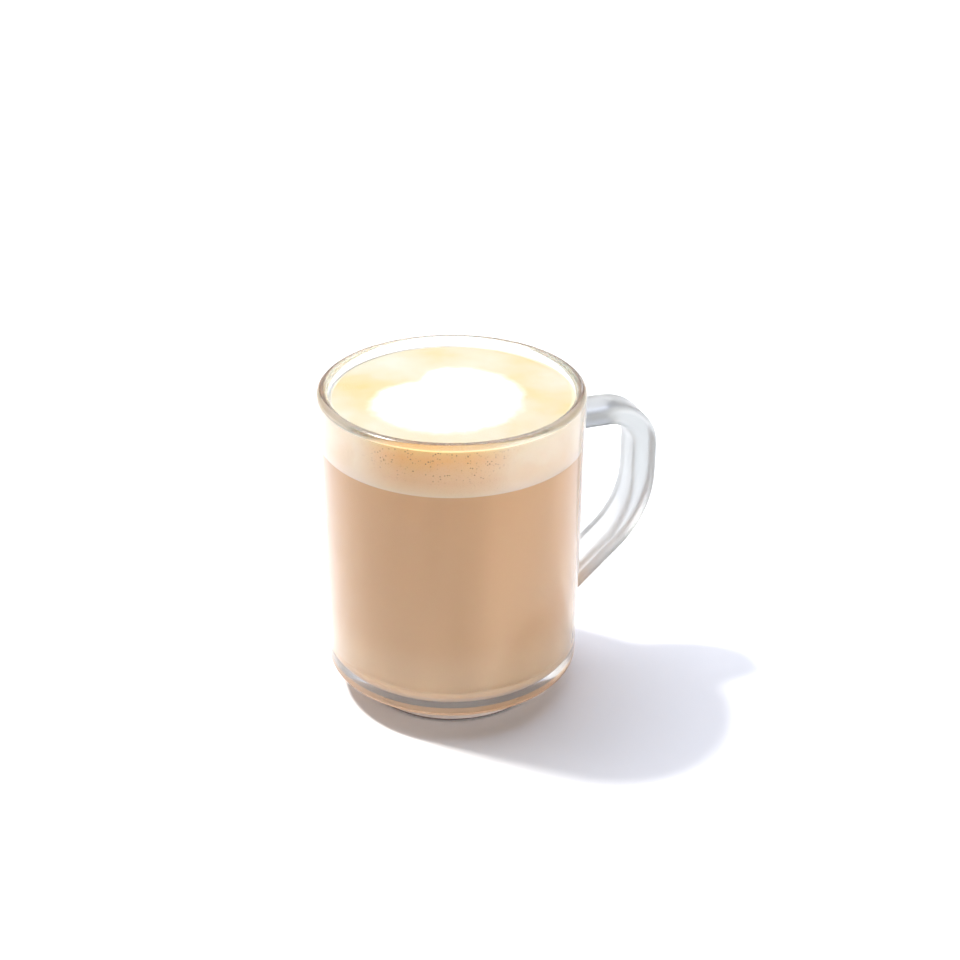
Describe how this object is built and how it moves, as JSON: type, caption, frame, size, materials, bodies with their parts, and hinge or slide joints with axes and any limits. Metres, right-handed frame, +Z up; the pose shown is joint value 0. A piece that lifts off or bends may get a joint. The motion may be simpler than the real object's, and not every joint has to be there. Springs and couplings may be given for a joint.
{
  "type": "glass of latte",
  "caption": "Milky coffee with a layer of foam and a pool of white milk foam, in a straight clear glass mug with a low foot and one side handle.",
  "frame": {"origin": "centre of the mug's foot on its axis, at the level of the surface it stands on", "axes": "+Z up along the mug's axis; +X from the axis towards the handle; +Y across the handle"},
  "size_m": [0.1062, 0.08, 0.1],
  "materials": {
    "clear_glass": "clear pressed glass, fire-polished",
    "milky_coffee": null,
    "beige_foam": null,
    "white_foam": null
  },
  "bodies": {
    "root": {"glass_mug": "clear_glass", "coffee": "milky_coffee", "foam": "beige_foam", "milk_foam": "white_foam"}
  },
  "joints": []
}
